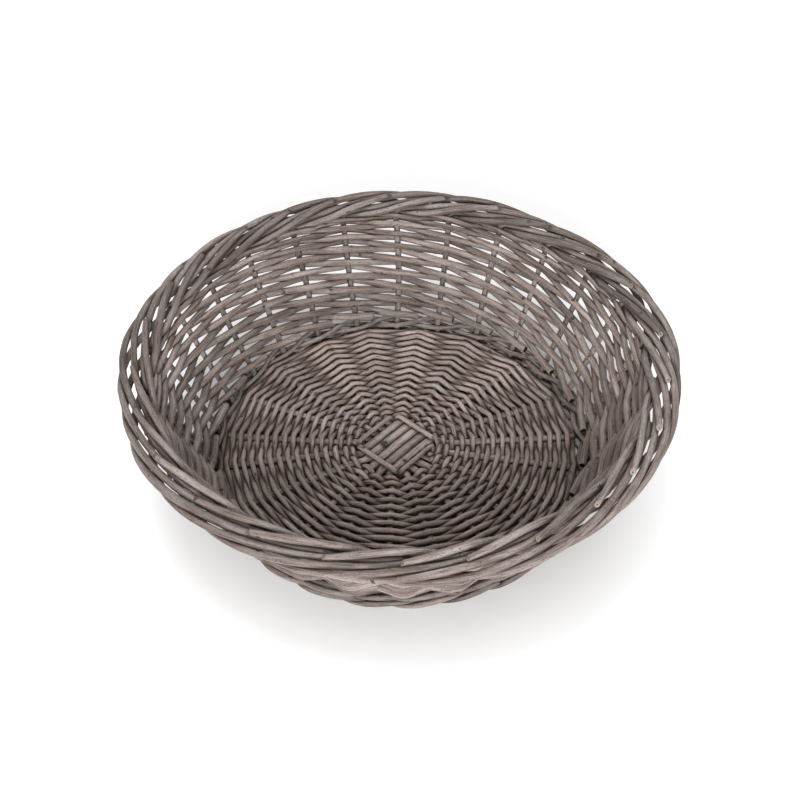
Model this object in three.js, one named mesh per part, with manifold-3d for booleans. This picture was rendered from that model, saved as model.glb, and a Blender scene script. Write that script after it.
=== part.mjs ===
// A round wicker tray basket, woven from willow rods. Millimetres, +Z up, origin under the middle of the foot.
// Every rod is a solid of its own: upright stakes that are bent down into the rolled border, the slanting rods of
// the side, three rows of waling, the foot, and a base of crossed sticks with two rods woven round them.

import * as THREE from "three";
import { mergeVertices } from "three/addons/utils/BufferGeometryUtils.js";
import Module from "manifold-3d";

// Driving dimensions of the whole basket
const rimRadius = 225;
const rimHeight = 121.8;
const baseRadius = 157;
const upsettHeight = 12;
const stakeCount = 26;
const firstStakeAngle = THREE.MathUtils.degToRad(90.9);

// Clearance between rods that touch in the real basket
const gap = 0.3;

// Stakes and the rolled border. The border is as wide and deep as its bundle of rods, so both follow the stake.
const stakeRadius = 2.75;
const tailRadius = 2.6;
const tailPointCount = 5;
const stakeSides = 5;
const stakeFootHeight = 0.8;
const borderWidthShare = 4.02;
const borderDepthShare = 2.82;

// The way of one stake through the border: how many stake spacings it has gone round, then how far it lies across
// the border from the inner edge, then how high up in it, the last two as shares of the border's width and depth.
// It leans over clockwise, climbs along the inner edge, crosses the top, rounds the outer edge, comes back under the
// bundle to the inside, and its tail rises again and lies over the top, where it is cut off.
const borderPathShares = [
  [0.0, 0.13, 0.28],
  [0.4, 0.19, 0.49],
  [0.8, 0.27, 0.59],
  [1.2, 0.4, 0.65],
  [1.7, 0.58, 0.67],
  [2.2, 0.76, 0.73],
  [2.7, 0.92, 0.7],
  [3.2, 1.0, 0.53],
  [3.7, 0.95, 0.3],
  [4.2, 0.77, 0.12],
  [4.7, 0.51, 0.02],
  [5.1, 0.25, 0.0],
  [5.45, 0.0, 0.14],
  [5.8, 0.0, 0.59],
  [6.2, 0.13, 0.86],
  [6.65, 0.32, 0.98],
  [7.15, 0.54, 1.0],
];

// Side rods: each starts inside as a thick butt and climbs one row at every stake, thinner towards its tip
const sideRowCount = 15;
const sideButtRadius = 2.6;
const sideTipRadius = 1.85;
const sideSides = 5;
const sideRowTaperShare = 0.78;
const sideEndShare = 0.44;
const buttDropShare = 0.35;
const borderRoomShare = 0.8;

// Foot and waling rows under the side
const footRodRadius = 2.6;
const footSides = 6;
const waleRodRadius = 2.1;
const waleSides = 5;
const waleRowCount = 3;
const stakesPerStroke = 3;
const ringOpenShare = 0.3;
const ringBendShare = 0.07;

// Base: ten sticks crossed in the middle, opened out into twenty spokes
const sticksPerGroup = 5;
const stickRadius = 5;
const spokeRadius = 2.3;
const threadRadius = 1.5;
const stickSides = 6;
const stickSqueeze = 0.12;
const slathAngle = THREE.MathUtils.degToRad(48);
const fanStart = 30.5;
const fanEnd = 44;
const crown = 3.5;
const weaverTipRadius = 1.6;
const weaverButtRadius = 1.9;
const weaverSides = 4;
const weaverRowPitch = 5;
const firstRowReach = 8.2;
const pressedLength = 2.3;
const pressedWithin = 50;
const spokeTipRoom = 0.7;

const wasm = await Module();
wasm.setup();

const willow = { butt: 0x77695f, wall: 0x85766c, pale: 0x8c7d72, base: 0x81736a, sticks: 0x8f8177 };
const willowRoughness = 0.78;

function willowMaterial(color) {
  return new THREE.MeshStandardMaterial({ color, roughness: willowRoughness, metalness: 0 });
}

// A closed rod along a row of points. Its section is a regular polygon, and radiusAt gives its radius at each point.
function rodGeometry(path, radiusAt, sides, firstNormal, turn = 0) {
  const positions = [];
  const index = [];
  const normal = firstNormal.clone();
  path.forEach((point, i) => {
    const before = path[Math.max(i - 1, 0)];
    const after = path[Math.min(i + 1, path.length - 1)];
    const incoming = point.clone().sub(before).normalize();
    const outgoing = after.clone().sub(point).normalize();
    const tangent = incoming.add(outgoing).normalize();
    normal.addScaledVector(tangent, -normal.dot(tangent)).normalize();
    const side = tangent.clone().cross(normal);
    const radius = radiusAt(i);
    for (let k = 0; k < sides; k += 1) {
      const angle = turn + (2 * Math.PI * k) / sides;
      const corner = point.clone().addScaledVector(normal, radius * Math.cos(angle));
      corner.addScaledVector(side, radius * Math.sin(angle));
      positions.push(corner.x, corner.y, corner.z);
    }
  });
  const last = (path.length - 1) * sides;
  for (let i = 0; i < last; i += sides) {
    for (let k = 0; k < sides; k += 1) {
      const a = i + k;
      const b = i + ((k + 1) % sides);
      index.push(a, b, b + sides);
      index.push(a, b + sides, a + sides);
    }
  }
  for (let k = 1; k < sides - 1; k += 1) {
    index.push(0, k + 1, k);
    index.push(last, last + k, last + k + 1);
  }
  const geometry = new THREE.BufferGeometry();
  geometry.setAttribute("position", new THREE.Float32BufferAttribute(positions, 3));
  geometry.setIndex(index);
  return geometry;
}

function polar(angle, radius, z) {
  return new THREE.Vector3(radius * Math.cos(angle), radius * Math.sin(angle), z);
}

const spacing = (2 * Math.PI) / stakeCount;
const up = new THREE.Vector3(0, 0, 1);

function stakeAngle(number) {
  return firstStakeAngle + number * spacing;
}

// Border box, measured between the middles of its outermost rods
const borderWidth = borderWidthShare * 2 * stakeRadius;
const borderDepth = borderDepthShare * 2 * stakeRadius;
const borderInner = rimRadius - stakeRadius - borderWidth;
const borderBottom = rimHeight - tailRadius - borderDepth;

function borderPoint(angle, [turns, across, rise]) {
  return polar(angle - turns * spacing, borderInner + across * borderWidth, borderBottom + rise * borderDepth);
}

// The side's middle surface: upright up to the upsett, then a straight flare to where the stakes bend down
const [, bendAcrossShare, bendRiseShare] = borderPathShares[0];
const bendRadius = borderInner + bendAcrossShare * borderWidth;
const bendHeight = borderBottom + bendRiseShare * borderDepth;
const flare = new THREE.Vector2(bendRadius - baseRadius, bendHeight - upsettHeight).normalize();
const wallNormal = new THREE.Vector2(flare.y, -flare.x);

function wallRadius(z) {
  return baseRadius + (Math.max(z - upsettHeight, 0) * flare.x) / flare.y;
}

// How far beside an upright a crossing rod bends away, when the next uprights stand at the distance reach and the
// rod crosses them on the other side. It lies flat against the upright over the length pressed each way.
function bow(contact, reach, pressed = 0) {
  const slope = (contact * (reach - 2 * pressed)) / Math.sqrt(reach * reach - 4 * contact * contact);
  return Math.max(contact, slope);
}

// Outside the ring the neighbours lie further back, so by ringBendShare a rod needs more room there than inside
function sidePoint(number, z, contact, inside) {
  const radius = wallRadius(z);
  const offset = bow(contact, radius * spacing) * (inside ? -1 : 1 + ringBendShare);
  return polar(stakeAngle(number), radius + offset * wallNormal.x, z + offset * wallNormal.y);
}

// A waling rod stays level, so beside a leaning stake it stands off a little further
function levelPoint(number, z, contact, inside) {
  const radius = wallRadius(z);
  const lean = z > upsettHeight ? 1 / wallNormal.x : 1;
  const offset = bow(contact * lean, radius * spacing) * (inside ? -1 : 1 + ringBendShare);
  return polar(stakeAngle(number), radius + offset, z);
}

function makeStake(number) {
  const angle = stakeAngle(number);
  const border = borderPathShares.map((shares) => borderPoint(angle, shares));
  const path = [polar(angle, baseRadius, stakeFootHeight), polar(angle, baseRadius, upsettHeight), ...border];
  const taperFrom = path.length - tailPointCount;
  const radiusAt = (i) => {
    const along = Math.max(i - taperFrom, 0) / (path.length - 1 - taperFrom);
    return THREE.MathUtils.lerp(stakeRadius, tailRadius, along);
  };
  return rodGeometry(path, radiusAt, stakeSides, polar(angle, 1, 0));
}

// Waling: the foot rod lies on the ground with a flat of its section down, the other rows lie on it
const footHeight = footRodRadius * Math.cos(Math.PI / footSides);
const firstWaleHeight = 2 * footRodRadius + waleRodRadius + gap;
const walePitch = 2 * waleRodRadius + 2 * gap;

function ringPath(z, rodRadius, isInside, start) {
  const contact = stakeRadius + rodRadius + gap;
  const path = [];
  for (let n = 0; n < stakeCount; n += 1) {
    path.push(levelPoint(start + n, z, contact, isInside(n)));
  }
  path.push(path[stakeCount - 1].clone().lerp(path[0], 1 - ringOpenShare));
  return path;
}

function makeFoot() {
  const path = ringPath(footHeight, footRodRadius, (n) => n % stakesPerStroke === 1, 0);
  return rodGeometry(path, () => footRodRadius, footSides, up, Math.PI / footSides);
}

function walePath(row) {
  const start = row * Math.floor(stakeCount / waleRowCount);
  return ringPath(firstWaleHeight + row * walePitch, waleRodRadius, (n) => n % stakesPerStroke === 0, start);
}

function makeWaleRow(row) {
  return rodGeometry(walePath(row), () => waleRodRadius, waleSides, up);
}

// Side rows. The lowest pitch is the widest, and the pitch shrinks evenly because the rods get thinner.
const firstSideHeight = firstWaleHeight + (waleRowCount - 1) * walePitch + waleRodRadius + sideButtRadius + 2 * gap;
const lastSideHeight = borderBottom - borderRoomShare * (stakeRadius + sideTipRadius) - gap;
const sideRows = sideRowCount - 1;
const meanPitch = (lastSideHeight - firstSideHeight) / sideRows;
const lowPitch = (2 * meanPitch) / (1 + sideRowTaperShare);

function sideHeight(row) {
  const shrink = (lowPitch * (1 - sideRowTaperShare)) / (sideRows - 1);
  return firstSideHeight + row * lowPitch - (shrink * row * (row - 1)) / 2;
}

function sideRodRadius(row) {
  return THREE.MathUtils.lerp(sideButtRadius, sideTipRadius, row / sideRows);
}

function makeSideRod(number) {
  const path = [];
  for (let row = 0; row < sideRowCount; row += 1) {
    const contact = stakeRadius + sideRodRadius(row) + gap;
    path.push(sidePoint(number + row, sideHeight(row), contact, row % 2 === 0));
  }
  const buttContact = stakeRadius + sideButtRadius + gap;
  const buttHeight = firstSideHeight - buttDropShare * sideButtRadius;
  const tipContact = stakeRadius + sideTipRadius + gap;
  path.unshift(sidePoint(number - sideEndShare, buttHeight, buttContact, true));
  path.push(sidePoint(number + sideRows + sideEndShare, lastSideHeight + gap, tipContact, true));
  const radiusAt = (i) => sideRodRadius(THREE.MathUtils.clamp(i - 1, 0, sideRows));
  return rodGeometry(path, radiusAt, sideSides, up);
}

// Base. A spoke runs beside its neighbours through the middle, then fans out and goes straight to the edge.
const groupCount = 4;
const stickSpacing = 2 * stickRadius * Math.cos(Math.PI / stickSides) - stickSqueeze;
const slathHalf = ((sticksPerGroup - 1) / 2) * stickSpacing;
const spokeCount = groupCount * sticksPerGroup;
const spokeStep = (2 * Math.PI) / spokeCount;
const footInside = baseRadius - bow(stakeRadius + footRodRadius + gap, baseRadius * spacing) - footRodRadius;
const weaveEdge = footInside - gap - weaverButtRadius;
const baseHeight = gap + bow(spokeRadius + weaverButtRadius + gap, weaveEdge * spokeStep) + weaverButtRadius;

function crownHeight(radius) {
  return baseHeight + crown * (1 - (Math.min(radius, weaveEdge) / weaveEdge) ** 2);
}

// Where a ring of rod, seen from above, crosses the ray at an angle, or nothing where the ring is open
function ringRadius(path, angle) {
  const ray = polar(angle, 1, 0);
  for (let i = 0; i < path.length - 1; i += 1) {
    const from = path[i];
    const step = path[i + 1].clone().sub(from);
    const across = ray.x * step.y - ray.y * step.x;
    const along = (from.x * ray.y - from.y * ray.x) / across;
    const radius = (from.x * step.y - from.y * step.x) / across;
    if (radius > 0 && along >= 0 && along <= 1) {
      return radius;
    }
  }
  return baseRadius;
}

// The sticks are cut off where they meet the lowest waling row, or a stake
const lowestWale = walePath(0);

function spokeReach(angle) {
  const toWale = ringRadius(lowestWale, angle) - waleRodRadius;
  return Math.min(toWale, baseRadius - stakeRadius) - spokeTipRoom;
}

function spokeShape(spoke) {
  const group = Math.floor(spoke / sticksPerGroup);
  const place = (spoke % sticksPerGroup) - (sticksPerGroup - 1) / 2;
  const axis = slathAngle + (group * 2 * Math.PI) / groupCount;
  const start = new THREE.Vector2(fanStart, place * stickSpacing);
  const fan = new THREE.Vector2(fanEnd, 0).rotateAround(new THREE.Vector2(), place * spokeStep);
  const reach = spokeReach(axis + place * spokeStep);
  const end = new THREE.Vector2(reach, 0).rotateAround(new THREE.Vector2(), place * spokeStep);
  return { axis, points: [start, fan, end] };
}

function lift(point, axis, rise = 0) {
  const turned = point.clone().rotateAround(new THREE.Vector2(), axis);
  return new THREE.Vector3(turned.x, turned.y, crownHeight(point.length()) + rise);
}

// The place on a spoke where a row crosses it, from the square middle (share 0) to the round edge (share 1)
function spokePlace(spoke, share) {
  const { axis, points } = spokeShape(((spoke % spokeCount) + spokeCount) % spokeCount);
  const [start, fan, end] = points;
  const fanLength = fan.distanceTo(start);
  const straight = weaveEdge - fanEnd;
  const along = share * (fanLength + straight);
  const flat = new THREE.Vector2();
  if (along < fanLength) {
    flat.lerpVectors(start, fan, along / fanLength);
  } else {
    flat.copy(end).setLength(fanEnd + along - fanLength);
  }
  return { axis, flat, place: lift(flat, axis) };
}

// One stick of the cross. Those of the first group are split, the others are shaved thin where they pass through.
function makeStick(group, place) {
  const forward = spokeShape(group * sticksPerGroup + place);
  const backward = spokeShape((group + 2) * sticksPerGroup + (sticksPerGroup - 1 - place));
  const middle = new THREE.Vector2(group === 0 ? slathHalf + stickRadius : slathHalf, forward.points[0].y);
  const path = [
    ...backward.points.map((point) => lift(point, backward.axis)).reverse(),
    lift(middle.clone().setX(-middle.x), forward.axis),
    lift(middle, forward.axis),
    ...forward.points.map((point) => lift(point, forward.axis)),
  ];
  const middleRadius = group === 0 ? stickRadius : threadRadius;
  const middleStart = backward.points.length;
  const radiusAt = (i) => (i === middleStart || i === middleStart + 1 ? middleRadius : spokeRadius);
  return rodGeometry(path, radiusAt, stickSides, up);
}

function toSolid(geometry) {
  const merged = mergeVertices(geometry);
  return new wasm.Manifold(
    new wasm.Mesh({
      numProp: 3,
      vertProperties: new Float32Array(merged.attributes.position.array),
      triVerts: new Uint32Array(merged.index.array),
    }),
  );
}

function toGeometry(solid) {
  const mesh = solid.getMesh();
  const geometry = new THREE.BufferGeometry();
  geometry.setAttribute("position", new THREE.BufferAttribute(mesh.vertProperties, 3));
  geometry.setIndex(new THREE.BufferAttribute(mesh.triVerts, 1));
  return geometry;
}

// Five sticks are split in the middle and five are pushed through them, so the ten hold each other as one cross
function makeSlath() {
  let solid = null;
  for (const group of [0, 1]) {
    for (let place = 0; place < sticksPerGroup; place += 1) {
      const stick = toSolid(makeStick(group, place));
      solid = solid ? solid.add(stick) : stick;
    }
  }
  return toGeometry(solid);
}

// Two rods bind the cross and then chase each other outwards over and under the spokes
const firstRowShare = firstRowReach / (weaveEdge - fanStart);
const weaverTurns = Math.round((weaveEdge - fanStart - firstRowReach) / (2 * weaverRowPitch));
const rowShare = (1 - firstRowShare) / (2 * weaverTurns + 1);

const bindingDistance = slathHalf + stickRadius + weaverTipRadius + gap;

function bindingRound(distance, overFirst) {
  const contact = spokeRadius + weaverTipRadius + gap;
  const hold = ((sticksPerGroup - 1) / 2) * stickSpacing + spokeRadius + gap;
  const path = [];
  for (let group = 0; group < groupCount; group += 1) {
    const axis = slathAngle + (group * 2 * Math.PI) / groupCount;
    const over = (group % 2 === 0) === overFirst ? 1 : -1;
    const thick = over * (contact + (stickRadius - spokeRadius) * (1 - group % 2));
    path.push(lift(new THREE.Vector2(distance, -hold), axis, thick));
    path.push(lift(new THREE.Vector2(distance, hold), axis, thick));
    if (group < groupCount - 1) {
      path.push(lift(new THREE.Vector2(distance, distance), axis));
    }
  }
  return path;
}

function makeWeaver(first) {
  const distance = bindingDistance + first * (2 * weaverTipRadius + 2 * gap);
  const path = bindingRound(distance, first === 0);
  const bindingPoints = path.length;
  const crossings = weaverTurns * spokeCount;
  const exit = distance + weaverTipRadius + gap;
  path.push(lift(new THREE.Vector2(exit, -exit), slathAngle));
  for (let n = 0; n < crossings; n += 1) {
    const share = firstRowShare + rowShare * (first + (2 * n) / spokeCount);
    const here = spokePlace(n, share);
    const reach = Math.min(
      here.place.distanceTo(spokePlace(n + 1, share).place),
      here.place.distanceTo(spokePlace(n - 1, share).place),
    );
    const radius = THREE.MathUtils.lerp(weaverTipRadius, weaverButtRadius, n / crossings);
    const contact = spokeRadius + radius + gap;
    const over = (n + first) % 2 === 0 ? 1 : -1;
    const pressed = here.flat.length() < pressedWithin ? pressedLength : 0;
    const rise = over * bow(contact, reach, pressed);
    const acrossSpoke = new THREE.Vector2(-here.flat.y, here.flat.x).normalize();
    for (const way of pressed > 0 ? [-1, 1] : [0]) {
      const flat = here.flat.clone().addScaledVector(acrossSpoke, way * pressed);
      path.push(lift(flat, here.axis, rise));
    }
  }
  const radiusAt = (i) => {
    const along = Math.max(i - bindingPoints, 0) / (path.length - bindingPoints);
    return THREE.MathUtils.lerp(weaverTipRadius, weaverButtRadius, along);
  };
  return rodGeometry(path, radiusAt, weaverSides, up);
}

const basket = new THREE.Group();

function addPart(name, geometry, color) {
  const mesh = new THREE.Mesh(geometry, willowMaterial(color));
  mesh.name = name;
  basket.add(mesh);
}

function numbered(name, number) {
  return `${name}_${String(number + 1).padStart(2, "0")}`;
}

for (let number = 0; number < stakeCount; number += 1) {
  addPart(numbered("stake", number), makeStake(number), willow.wall);
}
for (let number = 0; number < stakeCount; number += 1) {
  addPart(numbered("side_rod", number), makeSideRod(number), willow.pale);
}
for (let row = 0; row < waleRowCount; row += 1) {
  addPart(numbered("upsett_wale", row), makeWaleRow(row), willow.butt);
}
addPart("foot_wale", makeFoot(), willow.butt);
addPart("base_slath", makeSlath(), willow.sticks);
addPart("base_weaver_a", makeWeaver(0), willow.base);
addPart("base_weaver_b", makeWeaver(1), willow.base);

export default basket;
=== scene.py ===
"""Looks of the round wicker tray basket. Every willow rod is a smooth, slightly uneven tube on its own way
through the weave. Lengths are millimetres until a mesh is made, and every mesh is in metres."""

import math

import bpy
import numpy as np
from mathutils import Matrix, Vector
from mathutils.kdtree import KDTree


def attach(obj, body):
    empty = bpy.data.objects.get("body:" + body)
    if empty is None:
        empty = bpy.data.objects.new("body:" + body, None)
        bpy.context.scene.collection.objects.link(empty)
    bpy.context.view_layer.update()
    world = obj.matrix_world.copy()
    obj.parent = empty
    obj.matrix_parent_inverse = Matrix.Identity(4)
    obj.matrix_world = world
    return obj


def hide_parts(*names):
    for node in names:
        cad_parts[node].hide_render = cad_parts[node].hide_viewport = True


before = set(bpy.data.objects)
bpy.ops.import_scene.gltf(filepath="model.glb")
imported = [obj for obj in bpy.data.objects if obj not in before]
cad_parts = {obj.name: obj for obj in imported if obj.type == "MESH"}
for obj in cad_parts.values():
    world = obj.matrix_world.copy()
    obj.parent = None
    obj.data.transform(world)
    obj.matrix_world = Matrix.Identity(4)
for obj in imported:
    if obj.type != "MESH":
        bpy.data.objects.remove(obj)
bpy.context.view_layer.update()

METRES = 0.001
TURN = 2 * math.pi
dice = np.random.default_rng(seed=26)

# Sizes that the solids have too
RIM_RADIUS = 225.0
RIM_HEIGHT = 121.8
BASE_RADIUS = 157.0
UPSETT_HEIGHT = 12.0
STAKES = 26
FIRST_STAKE = math.radians(90.9)
SPACING = TURN / STAKES
SOLID_STAKE_RADIUS = 2.75
SOLID_TAIL_RADIUS = 2.6
# The border's bundle is about four stakes wide and three deep
BORDER_WIDTH = 4.02 * 2 * SOLID_STAKE_RADIUS
BORDER_DEPTH = 2.82 * 2 * SOLID_STAKE_RADIUS
BORDER_INNER = RIM_RADIUS - SOLID_STAKE_RADIUS - BORDER_WIDTH
BORDER_BOTTOM = RIM_HEIGHT - SOLID_TAIL_RADIUS - BORDER_DEPTH

# How much the rods differ from each other, as standard deviations in millimetres, radians or shares
STAKE_LEAN = math.radians(0.35)
BORDER_SWELL = 0.05
THICKNESS_SPREAD = 0.04
SIDE_HEIGHT_SPREAD = 0.4
BUTT_SPREAD = 0.05
WALE_HEIGHT_SPREAD = 0.25
WALE_RADIUS_SPREAD = 0.2
DRIFT_SIZE = 0.22
STICK_END_SPREAD = 0.6
ROW_SPREAD = 0.3
RISE_SPREAD = 0.15
# A rod's drift turns about once in so many of its points
DRIFT_EVERY = 9

# Stakes: their way through the border is the stake spacings gone round, then the shares across and up
STAKE_RADIUS = 2.6
STRAND_RADIUS = 2.85
TAIL_TAPER = 0.8
STAKE_FOOT = 1.0
STAKE_UPRIGHT = 0.6 * UPSETT_HEIGHT
STAKE_LEVELS = (30.0, 55.0, 80.0, 97.0)
BORDER_PATH = [
    (0.0, 0.13, 0.28),
    (0.4, 0.22, 0.45),
    (0.8, 0.33, 0.54),
    (1.2, 0.48, 0.61),
    (1.7, 0.68, 0.69),
    (2.2, 0.86, 0.74),
    (2.7, 0.98, 0.67),
    (3.2, 1.02, 0.48),
    (3.7, 0.95, 0.27),
    (4.2, 0.75, 0.12),
    (4.7, 0.47, 0.03),
    (5.1, 0.19, 0.04),
    (5.45, -0.02, 0.26),
    (5.8, -0.05, 0.5),
    (6.2, 0.06, 0.72),
    (6.65, 0.29, 0.83),
    (7.15, 0.6, 0.91),
]
# The tail, which is longer or shorter from stake to stake, starts so many spacings round
TAIL_FROM = 5.8
# The bundle's outer side swells from this share across it
OUTER_FROM = 0.6
# Where the tails are cut off, in degrees round the rim, as the photograph shows them
TAIL_ENDS = [
    352, 337.4, 323.3, 311.6, 297.1, 283.1, 270.7, 255.6, 240, 226.5, 211.5, 197, 184,
    169, 155.5, 143.5, 130, 118, 106.5, 93, 79, 65.5, 52, 36.9, 23.5, 6.5,
]

# Side rods: heights and radii at every second stake, from the butt to the tip
SIDE_HEIGHTS = [22.6, 34.5, 46, 58, 70, 81, 91, 99.7, 106.3, 111.0]
SIDE_RADII = [3.2, 3.2, 3.2, 3.15, 3.05, 2.95, 2.7, 2.4, 2.05, 1.6]
SIDE_ROWS = 2 * len(SIDE_HEIGHTS) - 2
# Half the length over which a side rod is pressed flat on a stake, and its climb over that half
SIDE_PRESSED = 2.0
PRESSED_CLIMB = 0.15
# How far the middle of a side rod lies from a stake's, as a share of the two radii
SIDE_CONTACT = 0.9
# The butt lies short of the first stake by this share of a spacing, and a little lower
BUTT_BEFORE = 0.44
BUTT_DROP = 0.9
# Its bends are rounded in steps of this length, so many times
SIDE_FINE_STEP = 1.8
SIDE_ROUNDS = 7

# Foot and waling: three rods each, which start at these stakes
WALE_RODS = 3
FOOT_RADIUS = 2.35
FOOT_START = 15
UPSETT_RADIUS = 2.1
UPSETT_START = 10
UPSETT_GAP = 0.2
# How far a rod lies under and over the others, and how thick its two ends are, as shares of its radius
WALE_CLIMB = 0.96
WALE_TAPER = (1.08, 0.94)

# Base: ten sticks crossed in the middle and opened out into twenty spokes
STICKS = 5
SPOKES = 20
SLATH_ANGLE = math.radians(48)
# The split sticks are thick in the middle, and the ones that are pushed through are thin and lie lower
STICK_RADIUS = 4.0
THREAD_RADIUS = 2.3
THREAD_DROP = 1.6
SPOKE_RADIUS = 2.7
SHOULDER = 0.2
STICK_SPACING = 8.5
STICK_STEP = 2.0
STICK_ROUNDS = 6
# Where a stick has its middle thickness, as a share of the square's width from each side of it
SPLIT_SHARE = 0.1
THREAD_SHARE = 0.23
# Where the spokes leave the square, where they are fanned out, and where they end
FAN_START = 28.8
FAN_END = 44.0
SPOKE_END = 150.5
# The base is domed: its height at the edge, and how much higher its middle lies
BASE_EDGE = 146.5
BASE_HEIGHT = 7.4
CROWN = 3.5
# The cross lies a little beside the middle of the basket
CROSS_SHIFT = np.array([-4.4, -1.0, 0.0])
# How far each spoke stands off its even place, in degrees, as the photograph shows them
SPOKE_DRIFT = [-4, -1, -1, 0, -2, 1, -1, 0, -4, -3, 2, 0, 2, 2.6, 4, 2.5, -1, -2.5, -6.5, -7]

# Base rods: two of them bind the cross and then go round, over and under the spokes
BINDING_RADIUS = 2.15
BINDING_REACH = 24.8
BINDING_CORNER = 0.9
BINDING_ROOM = 2.6
WEAVER_TURNS = 15
WEAVER_RADIUS = 2.2
WEAVER_STEP = 1.3
WEAVER_ROUNDS = 2
# A base rod's thickness at the start, and how much it grows and wavers, as shares of its radius
WEAVER_TIP = 0.94
WEAVER_GROWTH = 0.1
WEAVER_WAVER = 0.05
# A whole waver takes TURN times so many spokes
WAVER_CROSSINGS = 23
# The spoke and the rows at which the weave starts and ends, and how much closer together the last rows lie
FIRST_SPOKE = 18
FIRST_ROW = 29.4
LAST_ROW = 152.0
ROW_CLOSING = 0.1
# How far out the first row goes round a corner of the cross
FIRST_CORNER = 36.0
# Half the length over which a base rod is pressed flat on a spoke, and its height over the spoke's middle
PRESSED = 1.0
WEAVE_RISE = 4.6
# The outermost rows are squeezed between the foot and the waling
EDGE_FROM = 144.0
EDGE_RISE = 1.0
EDGE_LIFT = 1.6


def polar(rows):
    """Points from rows of angle, radius and height."""
    rows = np.asarray(rows, float)
    return np.column_stack([rows[:, 1] * np.cos(rows[:, 0]), rows[:, 1] * np.sin(rows[:, 0]), rows[:, 2]])


def cubic(at, values, new_at):
    """A smooth curve through values at the places at, read at new_at."""
    at, values = np.asarray(at, float), np.asarray(values, float)
    step = np.diff(at)
    rise = np.diff(values, axis=0) / step[:, None]
    inner = (rise[:-1] * step[1:, None] + rise[1:] * step[:-1, None]) / (step[:-1] + step[1:])[:, None]
    slope = np.vstack([rise[:1], inner, rise[-1:]])
    k = np.clip(np.searchsorted(at, new_at, side="right") - 1, 0, len(step) - 1)
    t = ((new_at - at[k]) / step[k])[:, None]
    h = step[k][:, None]
    first = (1 + 2 * t) * (1 - t) ** 2 * values[k] + t * (1 - t) ** 2 * h * slope[k]
    return first + t * t * (3 - 2 * t) * values[k + 1] + t * t * (t - 1) * h * slope[k + 1]


def lengths(points):
    """The distance along a row of points."""
    return np.concatenate([[0], np.cumsum(np.linalg.norm(np.diff(points, axis=0), axis=1))])


def evenly(points, radii, step):
    """Points about step apart along a row of points, with the radius at each."""
    along = lengths(points)
    count = max(int(round(along[-1] / step)), 2)
    new_along = np.linspace(0, along[-1], count + 1)
    new_points = np.column_stack([np.interp(new_along, along, points[:, k]) for k in range(3)])
    return new_points, np.interp(new_along, along, radii)


def softened(points, radii, step, rounds):
    """Straight stretches between points, with their corners rounded off over a few millimetres."""
    rows, thick = evenly(np.asarray(points, float), radii, step)
    for _ in range(rounds):
        rows[1:-1] = (rows[:-2] + 2 * rows[1:-1] + rows[2:]) / 4
    return rows, thick


def spline(rows, radii, step, fine=12):
    """A smooth way through rows of angle, radius and height, with that many fine points on each stretch."""
    rows = np.asarray(rows, float)
    at = lengths(polar(rows))
    stretches = [np.linspace(a, b, fine, endpoint=False) for a, b in zip(at[:-1], at[1:])]
    dense = np.concatenate(stretches + [at[-1:]])
    return evenly(polar(cubic(at, rows, dense)), np.interp(dense, at, radii), step)


def drift(count, every, size):
    """A slow random change of that size, with a turning point at every so many of count places."""
    turns = max(int(count / every), 2) + 2
    values = dice.normal(0, size, (turns, 3))
    return cubic(np.linspace(0, count, turns), values, np.arange(count, dtype=float))


# Rods. Each is a dict with its name, CAD node, slot, points along its middle, and radii there.
CHAIN_STEP = 3.6

# Where the stakes bend over into the border, and how much the wall flares up to there
BEND_RADIUS = BORDER_INNER + BORDER_PATH[0][1] * BORDER_WIDTH
BEND_HEIGHT = BORDER_BOTTOM + BORDER_PATH[0][2] * BORDER_DEPTH
FLARE = (BEND_RADIUS - BASE_RADIUS) / (BEND_HEIGHT - UPSETT_HEIGHT)
FLARE_LENGTH = math.hypot(1, FLARE)
OUTWARD = (1 / FLARE_LENGTH, -FLARE / FLARE_LENGTH)


def make_rod(name, node, slot, points, radii):
    return {"name": f"willow_{name}", "node": node, "slot": slot, "points": points, "radii": radii}


def wall_radius(height):
    return BASE_RADIUS + max(height - UPSETT_HEIGHT, 0) * FLARE


def stake_angle(number):
    return FIRST_STAKE + number * SPACING


def border_row(angle, turns, across, rise):
    """A place in the border, from the stake spacings gone round and the shares across and up."""
    radius = BORDER_INNER + across * BORDER_WIDTH
    return (angle - turns * SPACING, radius, BORDER_BOTTOM + rise * BORDER_DEPTH)


def stake_rows(number):
    """A stake's way up the side and through the border, as rows of angle, radius and height."""
    angle = stake_angle(number)
    lean = dice.normal(0, STAKE_LEAN)
    rows = [(angle, BASE_RADIUS, STAKE_FOOT), (angle, BASE_RADIUS, STAKE_UPRIGHT)]
    for height in STAKE_LEVELS:
        share = height / BEND_HEIGHT
        rows.append((angle + lean * math.sin(math.pi * share), wall_radius(height), height))
    end_angle = math.radians(TAIL_ENDS[(STAKES - number) % STAKES])
    turns = ((angle - end_angle) / SPACING) % STAKES
    last = BORDER_PATH[-1][0]
    swell = dice.normal(0, BORDER_SWELL)
    for gone, across, rise in BORDER_PATH:
        grown = gone + (turns - last) * max(gone - TAIL_FROM, 0) / (last - TAIL_FROM)
        outer = max(across - OUTER_FROM, 0) / (1 - OUTER_FROM)
        rows.append(border_row(angle, grown, across + swell * outer, rise))
    return rows


def stakes():
    """Upright rods, which are kinked over at the rim and make the border."""
    made = []
    for number in range(STAKES):
        rows = stake_rows(number)
        bend = len(rows) - len(BORDER_PATH)
        thick = np.full(len(rows), STRAND_RADIUS)
        thick[:bend + 1] = STAKE_RADIUS
        thick *= 1 + dice.normal(0, THICKNESS_SPREAD)
        thick[-1] *= TAIL_TAPER
        name = f"stake_{number + 1:02d}"
        made.append(make_rod(name, name, "stakes", *spline(rows, thick, CHAIN_STEP)))
    return made


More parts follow.
